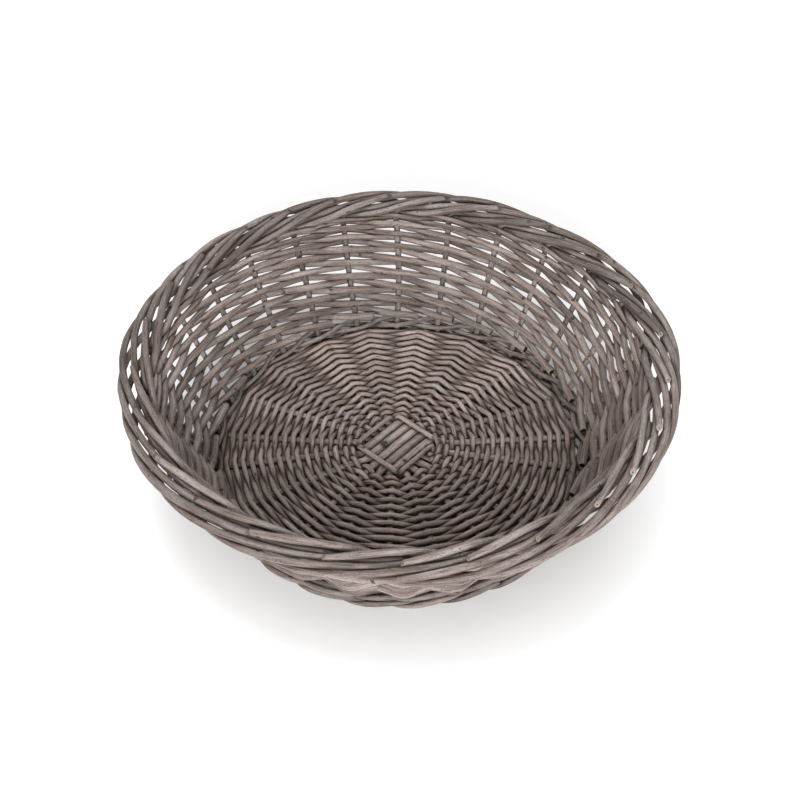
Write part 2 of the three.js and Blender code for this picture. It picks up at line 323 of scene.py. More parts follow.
def beside(angle, height, contact, inside):
    """A rod's place beside a stake, across the flaring wall."""
    offset = -contact if inside else contact
    return (angle, wall_radius(height) + offset * OUTWARD[0], height + offset * OUTWARD[1])


def side_rods():
    """Rods that pass inside and outside the stakes by turns and climb one row at each."""
    made = []
    each = np.arange(SIDE_ROWS)
    known = np.arange(len(SIDE_HEIGHTS)) * 2
    even_heights = cubic(known, np.array(SIDE_HEIGHTS)[:, None], each)[:, 0]
    for number in range(STAKES):
        swell = 1 + dice.normal(0, THICKNESS_SPREAD)
        heights = even_heights + dice.normal(0, SIDE_HEIGHT_SPREAD, SIDE_ROWS)
        radii = swell * np.interp(each, known, SIDE_RADII)
        rows, thick = [], []
        for row in each:
            contact = SIDE_CONTACT * (STAKE_RADIUS + radii[row])
            for way in (-1, 1):
                angle = stake_angle(number + row) + way * SIDE_PRESSED / wall_radius(heights[row])
                rows.append(beside(angle, heights[row] + way * PRESSED_CLIMB, contact, row % 2 == 0))
                thick.append(radii[row])
        butt_angle = stake_angle(number - BUTT_BEFORE + dice.normal(0, BUTT_SPREAD))
        rows.insert(0, beside(butt_angle, heights[0] - BUTT_DROP, STAKE_RADIUS + radii[0], True))
        thick.insert(0, radii[0])
        points, radii = softened(polar(rows), thick, SIDE_FINE_STEP, SIDE_ROUNDS)
        name = f"side_rod_{number + 1:02d}"
        made.append(make_rod(name, name, "side_rods", *evenly(points, radii, CHAIN_STEP)))
    return made


def wale(name, node, level, radius, start):
    """One rod of a three-rod wale: inside one stake, then outside two, under the other rods and over them."""
    rows = []
    for n in range(STAKES + 1):
        stage = n % WALE_RODS
        offset = (STAKE_RADIUS + radius) * (-1 if stage == 0 else 1)
        height = level + (0, -1, 1)[stage] * radius * WALE_CLIMB + dice.normal(0, WALE_HEIGHT_SPREAD)
        out = wall_radius(height) + offset + dice.normal(0, WALE_RADIUS_SPREAD)
        rows.append((stake_angle(start + n), out, height))
    thick = np.linspace(*WALE_TAPER, len(rows)) * radius
    return make_rod(name, node, "waling", *spline(rows, thick, CHAIN_STEP))


def wales():
    """The foot that the basket stands on, and the waling over it."""
    made = []
    for n in range(WALE_RODS):
        made.append(wale(f"foot_rod_{n + 1:02d}", "foot_wale", 2 * FOOT_RADIUS, FOOT_RADIUS, FOOT_START + n))
    level = 4 * FOOT_RADIUS + 2 * UPSETT_RADIUS + UPSETT_GAP
    for n in range(WALE_RODS):
        name = f"wale_{n + 1:02d}"
        made.append(wale(name, f"upsett_{name}", level, UPSETT_RADIUS, UPSETT_START + n))
    return made


# Settling: rods that lie in each other are pushed apart, each as a springy chain
SETTLE_ROUNDS = 48
ROUNDS_PER_SEARCH = 8
SEARCH_REACH = 9.0
# How far along a rod a neighbour's point may lie, as a share of the chain's step
FACING = 0.7
# What a point keeps of its own shift, while its neighbours on the rod share the rest
OWN_SHIFT = 0.35
SHIFT_KERNEL = np.array([1, 2, 3, 4, 3, 2, 1], float) / 16
# The lowest that a rod's middle may lie, as a share of its radius
ON_FLOOR = 0.98


def near_pairs(place, owner):
    """Points of different rods that lie close to each other."""
    tree = KDTree(len(place))
    for i, p in enumerate(place):
        tree.insert(p, i)
    tree.balance()
    pairs = [
        (i, j)
        for i, p in enumerate(place)
        for _, j, _ in tree.find_range(p, SEARCH_REACH)
        if owner[i] != owner[j]
    ]
    return np.array(pairs).T


def settle(chains):
    """Moves the chains apart, and returns the deepest overlap that is left."""
    rest = np.vstack([c["points"] for c in chains])
    size = np.concatenate([c["radii"] for c in chains])
    owner = np.concatenate([np.full(len(c["points"]), i) for i, c in enumerate(chains)])
    starts = np.cumsum([0] + [len(c["points"]) for c in chains])
    spans = list(zip(starts[:-1], starts[1:]))
    reach = len(SHIFT_KERNEL) // 2
    place = rest.copy()
    for turn in range(SETTLE_ROUNDS):
        if turn % ROUNDS_PER_SEARCH == 0:
            first, second = near_pairs(place, owner)
        tangent = np.empty_like(place)
        for a, b in spans:
            tangent[a:b] = np.gradient(place[a:b], axis=0)
        tangent /= np.linalg.norm(tangent, axis=1)[:, None]
        apart = place[first] - place[second]
        along = (apart * tangent[second]).sum(1)
        across = apart - along[:, None] * tangent[second]
        distance = np.linalg.norm(across, axis=1) + 1e-9
        overlap = size[first] + size[second] - distance
        close = (overlap > 0) & (np.abs(along) < CHAIN_STEP * FACING)
        push = across[close] / distance[close, None] * overlap[close, None] / 2
        moved = np.zeros_like(place)
        count = np.zeros(len(place))
        np.add.at(moved, first[close], push)
        np.add.at(count, first[close], 1)
        np.add.at(moved, second[close], -push)
        np.add.at(count, second[close], 1)
        moved /= np.maximum(count, 1)[:, None]
        shift = place + moved - rest
        for a, b in spans:
            padded = np.pad(shift[a:b], ((reach, reach), (0, 0)), mode="edge")
            soft = np.column_stack([np.convolve(padded[:, k], SHIFT_KERNEL, mode="valid") for k in range(3)])
            shift[a:b] = OWN_SHIFT * shift[a:b] + (1 - OWN_SHIFT) * soft
        place = rest + shift
        place[:, 2] = np.maximum(place[:, 2], size * ON_FLOOR)
    for chain, (a, b) in zip(chains, spans):
        chain["points"] = place[a:b]
    return float(overlap[close].max()) if close.any() else 0.0


def crown_height(radius):
    """The height of the domed base at a distance from its middle."""
    return BASE_HEIGHT + CROWN * (1 - np.minimum(np.asarray(radius) / BASE_EDGE, 1) ** 2)


def turned(angle, flat):
    """A point in plan, turned about the middle."""
    cosine, sine = math.cos(angle), math.sin(angle)
    return np.array([[cosine, -sine], [sine, cosine]]) @ np.array(flat)


def group_angle(group):
    return SLATH_ANGLE + group * TURN / 4


def spoke_angle(spoke):
    """The list of drifts starts at the middle spoke of the first group."""
    from_middle = spoke - STICKS // 2
    return SLATH_ANGLE + from_middle * TURN / SPOKES + math.radians(SPOKE_DRIFT[from_middle % SPOKES])


def spoke_line(spoke, reach):
    """A spoke in plan: where it leaves the square, where it is fanned out, and the point at that reach."""
    group, place = divmod(spoke % SPOKES, STICKS)
    beside_axis = (place - (STICKS - 1) / 2) * STICK_SPACING
    angle = spoke_angle(spoke % SPOKES)
    ray = np.array([math.cos(angle), math.sin(angle)])
    return turned(group_angle(group), (FAN_START, beside_axis)), FAN_END * ray, reach * ray


def on_spoke(spoke, distance):
    """The place on a spoke at a distance from the middle of the base, in plan."""
    start, fan, end = spoke_line(spoke, distance)
    if distance >= FAN_END:
        return end
    share = np.clip((distance - FAN_START) / (FAN_END - FAN_START), 0, 1)
    return start + (fan - start) * share


def in_base(points, radii, step, rounds):
    """A rod of the base, moved with the cross."""
    rows, thick = softened(points, radii, step, rounds)
    reach = np.linalg.norm(rows[:, :2], axis=1)
    return rows + CROSS_SHIFT * (1 - np.minimum(reach / BASE_EDGE, 1))[:, None], thick


def base_sticks():
    """Five split sticks, and five pushed through their splits. Each ends in two spokes."""
    made = []
    for group in (0, 1):
        middle, share = (STICK_RADIUS, SPLIT_SHARE) if group == 0 else (THREAD_RADIUS, THREAD_SHARE)
        half = [SPOKE_RADIUS, SPOKE_RADIUS, SPOKE_RADIUS + SHOULDER, middle]
        for place in range(STICKS):
            reach = SPOKE_END + dice.normal(0, STICK_END_SPREAD)
            a = spoke_line(group * STICKS + place, reach)
            b = spoke_line((group + 2) * STICKS + (STICKS - 1 - place), reach)
            inner = [b[0] + (a[0] - b[0]) * share, a[0] + (b[0] - a[0]) * share]
            flat = [*b[::-1], *inner, *a]
            rows = np.array([(*p, crown_height(np.linalg.norm(p))) for p in flat])
            if group == 1:
                rows[3:5, 2] -= THREAD_DROP
            name = f"base_stick_{group * STICKS + place + 1:02d}"
            points, radii = in_base(rows, half + half[::-1], STICK_STEP, STICK_ROUNDS)
            made.append(make_rod(name, "base_slath", "base_sticks", points, radii))
    return made


def row_radius(turn):
    """The rows lie closer together towards the edge."""
    share = turn / WEAVER_TURNS
    grown = share * (1 + ROW_CLOSING) - ROW_CLOSING * share * share
    return FIRST_ROW + (LAST_ROW - FIRST_ROW) * grown


def binding(first):
    """The start of a base rod, over two groups of sticks and under the other two."""
    hold = (STICKS - 1) / 2 * STICK_SPACING + BINDING_ROOM
    corner = BINDING_REACH * BINDING_CORNER
    points = []
    for group in range(4):
        over = 1 if group % 2 == first else -1
        rise = over * ((STICK_RADIUS if group % 2 == 0 else SPOKE_RADIUS) + BINDING_RADIUS)
        stops = [((BINDING_REACH, -hold), rise), ((BINDING_REACH, hold), rise)]
        if group < 3:
            stops.append(((corner, corner), 0))
        for spot, up in stops:
            flat = turned(group_angle(group), spot)
            points.append((*flat, float(crown_height(np.linalg.norm(flat))) + up))
    return points


def base_weaver(first):
    """A base rod: it binds the cross, then goes over and under the spokes, opposite to the other one."""
    points = binding(first)
    thick = [BINDING_RADIUS] * len(points)
    crossings = WEAVER_TURNS * SPOKES
    for n in range(crossings + 1):
        spoke = n + FIRST_SPOKE
        distance = row_radius(n / SPOKES + 0.5 * first) + dice.normal(0, ROW_SPREAD)
        flat = on_spoke(spoke, distance)
        outward = on_spoke(spoke, distance + 1) - flat
        across = np.array([-outward[1], outward[0]]) / np.linalg.norm(outward)
        over = 1 if (n + first) % 2 == 0 else -1
        edge = np.clip((distance - EDGE_FROM) / (LAST_ROW - EDGE_FROM), 0, 1)
        rise = over * (WEAVE_RISE + (EDGE_RISE - WEAVE_RISE) * edge) + EDGE_LIFT * edge
        rise += dice.normal(0, RISE_SPREAD)
        waver = WEAVER_WAVER * math.sin(n / WAVER_CROSSINGS + 2 * first)
        for way in (-PRESSED, PRESSED):
            points.append((*(flat + way * across), float(crown_height(distance)) + rise))
            thick.append(WEAVER_RADIUS * (WEAVER_TIP + WEAVER_GROWTH * n / crossings + waver))
        if spoke % STICKS == STICKS - 1 and distance < FAN_END:
            share = (distance - FAN_START) / (FAN_END - FAN_START)
            corner = FIRST_CORNER + (FAN_END - FIRST_CORNER) * share
            angle = group_angle(spoke // STICKS + 0.5)
            points.append((corner * math.cos(angle), corner * math.sin(angle), float(crown_height(corner))))
            thick.append(WEAVER_RADIUS)
    name = f"base_weaver_{'ab'[first]}"
    return make_rod(name, name, "base_weave", *in_base(points, thick, WEAVER_STEP, WEAVER_ROUNDS))


rods = stakes() + side_rods() + wales()
for rod in rods:
    rod["points"] = rod["points"] + drift(len(rod["points"]), DRIFT_EVERY, DRIFT_SIZE)
print("settled, deepest overlap left", round(settle(rods), 2), "mm")
rods += base_sticks() + [base_weaver(0), base_weaver(1)]

# Tubes: how many sides round a rod, and the step from ring to ring along it
SIDES = {"stakes": 10, "side_rods": 10, "waling": 10, "base_sticks": 12, "base_weave": 8}
RING_STEP = 2.5
FEWEST_BANDS = 4
# A rod whose start is steeper than this is rolled to X, and the others to Z
STEEP = 0.9
# How oval and how lumpy a rod is, as shares of its radius, and the lengths over which that changes
OVAL = 0.025
OVAL_TWIST = 60
LUMP = 0.02
LUMP_EVERY = 14
FEWEST_LUMPS = 6
# Knots: how far apart and from the tip, how long and how far round, and how proud all round and at the bud
FIRST_KNOT = (10, 60)
KNOT_EVERY = (30, 80)
KNOT_ROOM = 6
KNOT_WIDTH = 2.6
KNOT_ROUND = 0.7
KNOT_RING = 0.03
KNOT_PROUD = 0.09
# The dark mark over a knot: how far on it lies, how long it is, and how dark
MARK_SHIFT = 1.0
MARK_WIDTH = 2.2
MARK_DARK = (0.7, 1.6)
# Rings of a cut end: their share of the radius, how far out they lie, and how deep in the wood they look
FLAT_CUT = ((0.9, 0.3, 0.6), (0.35, 0.35, 0.74), (0.14, 0.35, 1.0))
# A side rod's butt is cut hollow, and its inside is painted dark as shade in the hollow
HOLLOW_CUT = ((0.93, 0.28, 0.85), (0.62, 0.3, 1.0), (0.5, -2.6, 1.0))
CUT_RINGS = len(FLAT_CUT)
# How slanted a cut is at random, and how much a tail's face looks up
CUT_SLANT = 0.25
TAIL_SLANT = 0.6


def frames(points):
    """Directions along a row of points, and two across each that turn as little as they can."""
    tangent = np.gradient(points, axis=0)
    tangent /= np.linalg.norm(tangent, axis=1)[:, None]
    normal = np.empty_like(points)
    guess = np.array([0.0, 0.0, 1.0]) if abs(tangent[0][2]) < STEEP else np.array([1.0, 0.0, 0.0])
    for i, t in enumerate(tangent):
        guess = guess - t * (guess @ t)
        guess /= np.linalg.norm(guess)
        normal[i] = guess
    return tangent, normal, np.cross(tangent, normal)


def add_knots(oval, along, angle):
    """The rod's section with its knots on it, and how dark each place is."""
    dark = np.zeros((len(along), len(angle)))
    place = dice.uniform(*FIRST_KNOT)
    while place < along[-1] - KNOT_ROOM:
        facing = dice.uniform(0, TURN)
        width = np.exp(-(((along - place) / KNOT_WIDTH) ** 2))[:, None]
        towards = np.exp(-((np.angle(np.exp(1j * (angle - facing))) / KNOT_ROUND) ** 2))[None, :]
        oval = oval + width * (KNOT_RING + KNOT_PROUD * towards)
        mark = np.exp(-(((along - place - MARK_SHIFT) / MARK_WIDTH) ** 2))[:, None]
        dark += mark * towards * dice.uniform(*MARK_DARK)
        place += dice.uniform(*KNOT_EVERY)
    return oval, np.clip(dark, 0, 1)


def in_wood(reach, angle, along):
    """Places in the wood, across and along the rod, for its grain."""
    across = (reach * np.cos(angle), reach * np.sin(angle))
    return np.stack([*across, np.broadcast_to(along, reach.shape)], axis=-1)


def section(radii, along, angle):
    """How far the rod's surface lies from its middle, all along and round, and how dark its knots are."""
    phase = dice.uniform(0, TURN)
    oval = 1 + OVAL * np.cos(2 * angle[None, :] + phase + along[:, None] / OVAL_TWIST)
    lumps = FEWEST_LUMPS + int(along[-1] / LUMP_EVERY)
    lumpy = 1 + LUMP * cubic(np.linspace(0, along[-1], lumps), dice.normal(0, 1, (lumps, 1)), along)
    oval, dark = add_knots(oval, along, angle)
    return radii[:, None] * oval * lumpy, dark


def skin(count, sides):
    """Faces over all rings of a rod, from the cut at its start to the one at its end."""
    body = np.arange(count * sides).reshape(-1, sides)
    start = np.arange(CUT_RINGS * sides).reshape(-1, sides) + body.size
    rows = np.vstack([start[::-1], body, start + start.size])
    near, far = rows[:-1], rows[1:]
    quads = np.stack([near, np.roll(near, -1, 1), np.roll(far, -1, 1), far], axis=2).reshape(-1, 4)
    return quads.tolist() + [rows[0][::-1].tolist(), rows[-1].tolist()]


def tube(rod):
    """A rod's mesh: vertices and faces, and each vertex's place in the wood, depth in a cut, and knot, with
    painted shade in a hollow butt.
    """
    sides = SIDES[rod["slot"]]
    at = lengths(rod["points"])
    along = np.linspace(0, at[-1], max(int(at[-1] / RING_STEP), FEWEST_BANDS) + 1)
    points = cubic(at, rod["points"], along)
    tangent, normal, binormal = frames(points)
    angle = np.arange(sides) * TURN / sides
    reach, dark = section(np.interp(along, at, rod["radii"]), along, angle)
    cosine, sine = np.cos(angle)[None, :, None], np.sin(angle)[None, :, None]
    outward = cosine * normal[:, None, :] + sine * binormal[:, None, :]
    vertices = [(points[:, None, :] + reach[..., None] * outward).reshape(-1, 3)]
    grain = [in_wood(reach, angle, along[:, None]).reshape(-1, 3)]
    cut = [np.zeros(len(along) * sides)]
    knot_and_hollow_shade = [dark.ravel()]
    for index, way in ((0, -1.0), (len(along) - 1, 1.0)):
        hollow = rod["slot"] == "side_rods" and way < 0
        slant = dice.uniform(-CUT_SLANT, CUT_SLANT, 2)
        if rod["slot"] == "stakes" and way > 0:
            slant = slant - TAIL_SLANT * np.array([normal[index][2], binormal[index][2]])
        tilt = slant[0] * np.cos(angle) + slant[1] * np.sin(angle)
        for share, out, depth in HOLLOW_CUT if hollow else FLAT_CUT:
            flat = share * reach[index]
            centre = points[index] + way * out * tangent[index]
            vertices.append(centre + flat[:, None] * outward[index] + (flat * tilt)[:, None] * tangent[index])
            grain.append(in_wood(flat, angle, along[index]))
            cut.append(np.full(sides, depth))
            # A hollow butt is marked as a knot all over, as painted shade in the hollow
            knot_and_hollow_shade.append(np.full(sides, float(hollow)))
    vertices, grain, cut, knot_and_hollow_shade = [np.concatenate(rows) for rows in (vertices, grain, cut, knot_and_hollow_shade)]
    return vertices, skin(len(along), sides), grain, cut, knot_and_hollow_shade


# Crevices between the rods, looked for this near
NEAR = 7.0
# How far the painted shade reaches out of a crevice
CREVICE_SHADE_REACH = {"stakes": 2.2, "side_rods": 1.3, "waling": 2.0, "base_sticks": 2.3, "base_weave": 2.3}
middles = np.vstack([r["points"] for r in rods])
sizes = np.concatenate([r["radii"] for r in rods])
owners = np.concatenate([np.full(len(r["points"]), i) for i, r in enumerate(rods)])
directions = np.vstack([np.gradient(r["points"], axis=0) for r in rods])
directions /= np.linalg.norm(directions, axis=1)[:, None]
everything = KDTree(len(middles))
for index, middle in enumerate(middles):
    everything.insert(middle, index)
everything.balance()


# Painted shade: the depth in a crevice darkens the rod's colour, and the open side is made paler, partly as
# painted light
def crevices(vertices, own, reach):
    """How deep each vertex lies between other rods: 1 where one touches it, down to -1 in the open."""
    pairs = [
        (i, j)
        for i, v in enumerate(vertices)
        for _, j, _ in everything.find_range(v, NEAR)
        if owners[j] != own
    ]
    here, there = np.array(pairs).T
    apart = vertices[here] - middles[there]
    along = (apart * directions[there]).sum(1)
    across = np.linalg.norm(apart - along[:, None] * directions[there], axis=1)
    free = across - sizes[there] + np.maximum(np.abs(along) - CHAIN_STEP / 2, 0) / 2
    depth = np.full(len(vertices), NEAR)
    np.minimum.at(depth, here, free)
    return np.clip(1 - depth / reach, -1, 1)


# Materials
def attribute(tree, name):
    made = tree.nodes.new("ShaderNodeAttribute")
    made.attribute_name = name
    return made


def stretched(tree, vector, scale):
    made = tree.nodes.new("ShaderNodeVectorMath")
    made.operation = "MULTIPLY"
    tree.links.new(vector, made.inputs[0])
    made.inputs[1].default_value = scale
    return made.outputs[0]


def noise(tree, vector, detail, roughness):
    made = tree.nodes.new("ShaderNodeTexNoise")
    tree.links.new(vector, made.inputs["Vector"])
    made.inputs["Scale"].default_value = 1.0
    made.inputs["Detail"].default_value = detail
    made.inputs["Roughness"].default_value = roughness
    return made.outputs["Fac"]


def between(tree, value, low, high, to_low=0.0, to_high=1.0):
    """Goes smoothly from to_low to to_high while the value goes from low to high."""
    made = tree.nodes.new("ShaderNodeMapRange")
    made.interpolation_type = "SMOOTHSTEP"
    tree.links.new(value, made.inputs["Value"])
    for name, number in (("From Min", low), ("From Max", high), ("To Min", to_low), ("To Max", to_high)):
        made.inputs[name].default_value = number
    return made.outputs["Result"]


def fill(tree, socket, value):
    """Links a socket to another node, or sets it."""
    if isinstance(value, bpy.types.NodeSocket):
        tree.links.new(value, socket)
    else:
        socket.default_value = value


def maths(tree, operation, a, b):
    made = tree.nodes.new("ShaderNodeMath")
    made.operation = operation
    fill(tree, made.inputs[0], a)
    fill(tree, made.inputs[1], b)
    return made.outputs[0]


def mixed(tree, share, a, b, blend="MIX"):
    """A mix of two colours, each a tuple or another node's colour."""
    made = tree.nodes.new("ShaderNodeMix")
    made.data_type = "RGBA"
    made.blend_type = blend
    for index, value in ((0, share), (6, a), (7, b)):
        fill(tree, made.inputs[index], (*value, 1) if isinstance(value, tuple) else value)
    return made.outputs[2]


# Noises in the wood: how they are stretched across and along the rod, their detail and their roughness
NOISES = {
    "streaks": ((0.75, 0.75, 0.035), 5.0, 0.65),
    "fibres": ((3.4, 3.4, 0.16), 3.0, 0.6),
    "patches": ((0.16, 0.16, 0.022), 3.0, 0.55),
    "blotches": ((0.42, 0.42, 0.22), 3.0, 0.6),
    "specks": ((1.3, 1.3, 0.7), 2.0, 0.5),
    "flecks": ((1.5, 1.5, 0.11), 3.0, 0.6),
    "grit": ((1.1, 1.1, 0.9), 1.0, 0.5),
}
# Where in a noise or a vertex value a look starts and is full, and its share at those two
STREAK_STEP = (0.37, 0.60, 0.0, 1.0)
PATCH_STEP = (0.42, 0.66, 0.0, 1.0)
WASH_STEP = (0.3, 0.66, 0.35, 1.0)
WORN_AND_LIT_STEP = (0.3, 0.6, 0.4, 1.0)
BLEACHED_STEP = (-2.6, -1.4, 0.9, 0.0)
MARK_STEPS = {
    "blotches": (0.6, 0.75, 0.0, 0.4),
    "flecks": (0.56, 0.66, 0.0, 0.7),
    "specks": (0.63, 0.68, 0.0, 0.9),
}
KNOT_STEP = (1.36, 1.5, 0.0, 0.93)
TONE_STEP = (0.0, 1.0, 0.72, 1.28)
CUT_STEP = (0.5, 0.62, 0.0, 0.7)
PITH_STEP = (0.78, 0.98, 0.0, 1.0)
ROUGHNESS_STEP = (0.3, 0.7, 0.5, 0.72)
# Where in the crevice shade value a rod stands fully proud, paler from wear and painted light, and where no
# longer
PROUD = (-0.75, 0.1)
FLECK_COLOUR = (0.05, 0.038, 0.031)
SPECK_COLOUR = (0.03, 0.022, 0.018)
# Knots, and the painted shade in hollow butts, take this colour
KNOT_AND_HOLLOW_SHADE_COLOUR = (0.026, 0.021, 0.019)
# Colour of the painted shade in the crevices between rods
CREVICE_SHADE_COLOUR = (0.022, 0.0165, 0.0145)
CUT_COLOUR = (0.36, 0.30, 0.25)
# Pith, and the painted shade in hollow butts, take this colour
PITH_AND_HOLLOW_SHADE_COLOUR = (0.022, 0.016, 0.013)
BLEACHED_COLOUR = (0.5, 0.5, 0.49)
WASH_STRENGTH = 0.85
GRIT_IN_KNOTS = 1.6
# Strength of the painted crevice shade
CREVICE_SHADE_STRENGTH = 0.94
SHEEN = 0.2
STREAKS_IN_BUMP = 0.6
BUMP_STRENGTH = 0.35
BUMP_HEIGHT = 0.0005


def washed_wood(tree, wood, crevice_shade_and_bleach, pale, dark, middle, wash):
    """Streaky wood with a pale wash in patches, paler from wear and painted light where it is proud, bleached
    where the crevice shade value is very low.
    """
    colour = mixed(tree, between(tree, wood["streaks"], *STREAK_STEP), dark, middle)
    patchy = between(tree, wood["patches"], *PATCH_STEP)
    washed = maths(tree, "MULTIPLY", patchy, between(tree, wood["fibres"], *WASH_STEP))
    colour = mixed(tree, maths(tree, "MULTIPLY", washed, WASH_STRENGTH), colour, wash)
    # Wear and painted light: the rod is paler where no other rod lies near it
    proud = between(tree, crevice_shade_and_bleach, *PROUD, pale, 0.0)
    worn_and_lit = maths(tree, "MULTIPLY", proud, between(tree, wood["fibres"], *WORN_AND_LIT_STEP))
    colour = mixed(tree, worn_and_lit, colour, wash)
    return mixed(tree, between(tree, crevice_shade_and_bleach, *BLEACHED_STEP), colour, BLEACHED_COLOUR)


def marked(tree, wood, knot_and_hollow_shade, dark, colour):
    """Dark blotches, flecks and specks, and knots with a gritty edge, which also paint the shade in hollow
    butts.
    """
    for (kind, step), mark in zip(MARK_STEPS.items(), (dark, FLECK_COLOUR, SPECK_COLOUR)):
        colour = mixed(tree, between(tree, wood[kind], *step), colour, mark)
    spotted = maths(tree, "ADD", knot_and_hollow_shade, maths(tree, "MULTIPLY", wood["grit"], GRIT_IN_KNOTS))
    return mixed(tree, between(tree, spotted, *KNOT_STEP), colour, KNOT_AND_HOLLOW_SHADE_COLOUR)


def toned(tree, tone, colour):
    """Some rods are darker than others."""
    brightness = between(tree, tone, *TONE_STEP)
    shade = tree.nodes.new("ShaderNodeCombineColor")
    for socket in shade.inputs:
        tree.links.new(brightness, socket)
    return mixed(tree, 1.0, colour, shade.outputs[0], "MULTIPLY")


def shaded_crevices_and_cuts(tree, crevice_shade_and_bleach, cut, colour):
    """Painted shade in the crevices, and cut ends with a dark pith, which in a hollow butt is painted shade.
    """
    crevice_shade_share = maths(tree, "MULTIPLY", maths(tree, "MAXIMUM", crevice_shade_and_bleach, 0.0), CREVICE_SHADE_STRENGTH)
    # Painted shade: crevices are darkened toward the shade colour
    colour = mixed(tree, crevice_shade_share, colour, CREVICE_SHADE_COLOUR)
    colour = mixed(tree, between(tree, cut, *CUT_STEP), colour, CUT_COLOUR)
    return mixed(tree, between(tree, cut, *PITH_STEP), colour, PITH_AND_HOLLOW_SHADE_COLOUR)


def add_bump(tree, shader, wood):
    """Fibres and streaks that catch the light."""
    bump = tree.nodes.new("ShaderNodeBump")
    bump.inputs["Strength"].default_value = BUMP_STRENGTH
    bump.inputs["Distance"].default_value = BUMP_HEIGHT
    height = maths(tree, "ADD", wood["fibres"], maths(tree, "MULTIPLY", wood["streaks"], STREAKS_IN_BUMP))
    tree.links.new(height, bump.inputs["Height"])
    tree.links.new(bump.outputs["Normal"], shader.inputs["Normal"])


def willow(name, pale, dark, middle, wash):
    """Grey-washed willow: the wood with its wash, marks, tone and painted crevice shade, one over the other.
    """
    material = bpy.data.materials.new(name)
    material.use_nodes = True
    tree = material.node_tree
    shader = tree.nodes["Principled BSDF"]
    grain = attribute(tree, "grain").outputs["Vector"]
    look = tree.nodes.new("ShaderNodeSeparateXYZ")
    tree.links.new(attribute(tree, "look").outputs["Vector"], look.inputs[0])
    tone, crevice_shade_and_bleach, knot_and_hollow_shade = look.outputs
    cut = attribute(tree, "cut").outputs["Fac"]
    wood = {
        kind: noise(tree, stretched(tree, grain, scale), detail, roughness)
        for kind, (scale, detail, roughness) in NOISES.items()
    }
    colour = washed_wood(tree, wood, crevice_shade_and_bleach, pale, dark, middle, wash)
    colour = marked(tree, wood, knot_and_hollow_shade, dark, colour)
    colour = shaded_crevices_and_cuts(tree, crevice_shade_and_bleach, cut, toned(tree, tone, colour))
    tree.links.new(colour, shader.inputs["Base Color"])
    tree.links.new(between(tree, wood["fibres"], *ROUGHNESS_STEP), shader.inputs["Roughness"])
    shader.inputs["Specular IOR Level"].default_value = SHEEN
    add_bump(tree, shader, wood)
    return material


# Each slot's finish: its name, how pale its proud places are from wear and painted light, and its dark,
# middle and washed colours
FINISHES = {
    "stakes": ("stakes", 0.1, (0.098, 0.072, 0.060), (0.238, 0.188, 0.166), (0.380, 0.333, 0.315)),
    "side_rods": ("side", 0.1, (0.105, 0.077, 0.063), (0.255, 0.199, 0.174), (0.410, 0.357, 0.336)),
    "waling": ("waling", 0.2, (0.098, 0.074, 0.063), (0.244, 0.192, 0.168), (0.403, 0.352, 0.329)),
    "base_sticks": ("sticks", 0.4, (0.156, 0.114, 0.095), (0.374, 0.290, 0.254), (0.567, 0.492, 0.463)),
    "base_weave": ("base", 0.5, (0.152, 0.109, 0.088), (0.370, 0.276, 0.235), (0.590, 0.498, 0.457)),
}
finishes = {slot: willow(f"washed_willow_{name}", *looks) for slot, (name, *looks) in FINISHES.items()}

# The UV map keeps a strip at its top for the flat ends, and a margin beside each column
CAP_STRIP = 0.5
CAP_PLACE = (0.99, 0.985)
CAP_SIZE = (0.004, 0.003)
CAP_STEP = 0.008
COLUMN_MARGIN = 0.04


def map_columns(mesh, bands, sides, length, girth):
    """A UV map that lays the rod out in columns side by side, so that it fills a square."""
    columns = max(int(round(math.sqrt(length / girth))), 1)
    per_column = math.ceil(bands / columns)
    inside = 1 - 2 * COLUMN_MARGIN
    uv = np.zeros((len(mesh.loops), 2))
    for band in range(bands):
        column, row = divmod(band, per_column)
        low, high = row / (per_column + CAP_STRIP), (row + 1) / (per_column + CAP_STRIP)
        for k in range(sides):
            left = (column + COLUMN_MARGIN + inside * k / sides) / columns
            right = (column + COLUMN_MARGIN + inside * (k + 1) / sides) / columns
            corner = 4 * (band * sides + k)
            uv[corner:corner + 4] = ((left, low), (right, low), (right, high), (left, high))
    angle = np.arange(sides) * TURN / sides
    for cap in range(2):
        begin = (4 * bands + cap) * sides
        uv[begin:begin + sides, 0] = CAP_PLACE[0] + CAP_SIZE[0] * np.cos(angle)
        uv[begin:begin + sides, 1] = CAP_PLACE[1] + CAP_STEP * cap + CAP_SIZE[1] * np.sin(angle)
    layer = mesh.uv_layers.new(name="OFBake")
    layer.data.foreach_set("uv", uv.astype(np.float32).ravel())


# The foot is worn flat where it stands, this far over the floor
FLOOR_GAP = 0.05
# How much of the painted crevice shade the stakes keep below the border
STAKE_CREVICE_SHADE = 0.2
# A dark stain on one stick of the cross
STAINED = "willow_base_stick_04"
STAIN = np.array([-13.4, -0.6, 15.5])
STAIN_SIZE = 5.4
# A short pale stretch of a base rod, on its upper side only
PALE_SPOT = np.array([33.0, 67.0, 15.5])
PALE_SIZE = 5.5
PALE_DEPTH = 3
BLEACHED = 2
# Each rod has its grain from another place in the noises, and its own tone, mostly a middle one
GRAIN_SPREAD = 4000
TONE_SPREAD = 2.2


